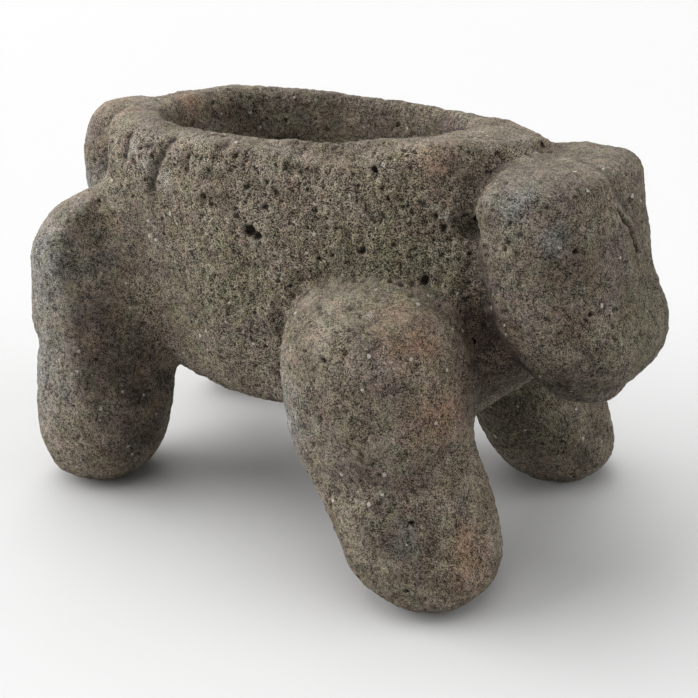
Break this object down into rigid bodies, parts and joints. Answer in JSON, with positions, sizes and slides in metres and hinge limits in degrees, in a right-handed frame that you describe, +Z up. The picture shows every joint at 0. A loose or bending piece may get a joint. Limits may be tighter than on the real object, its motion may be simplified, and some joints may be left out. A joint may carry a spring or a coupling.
{
  "type": "molcajete",
  "caption": "Carved stone grinding mortar in the shape of a stout animal, with a deep trough in its back, standing on thick legs.",
  "frame": {"origin": "on the ground, under the middle of the whole figure's length and width", "axes": "+Z up, +X from the tail to the head, +Y to the animal's left side"},
  "size_m": [0.2626, 0.1662, 0.1612],
  "materials": {
    "basalt": "grey-brown vesicular basalt, matt: deeply pitted where it was chiselled, finely pored where it was rubbed down"
  },
  "bodies": {
    "root": {"bowl": "basalt", "neck": "basalt", "tail": "basalt", "head": "basalt", "front_right_leg": "basalt", "front_left_leg": "basalt", "rear_right_leg": "basalt", "rear_left_leg": "basalt"}
  },
  "joints": []
}
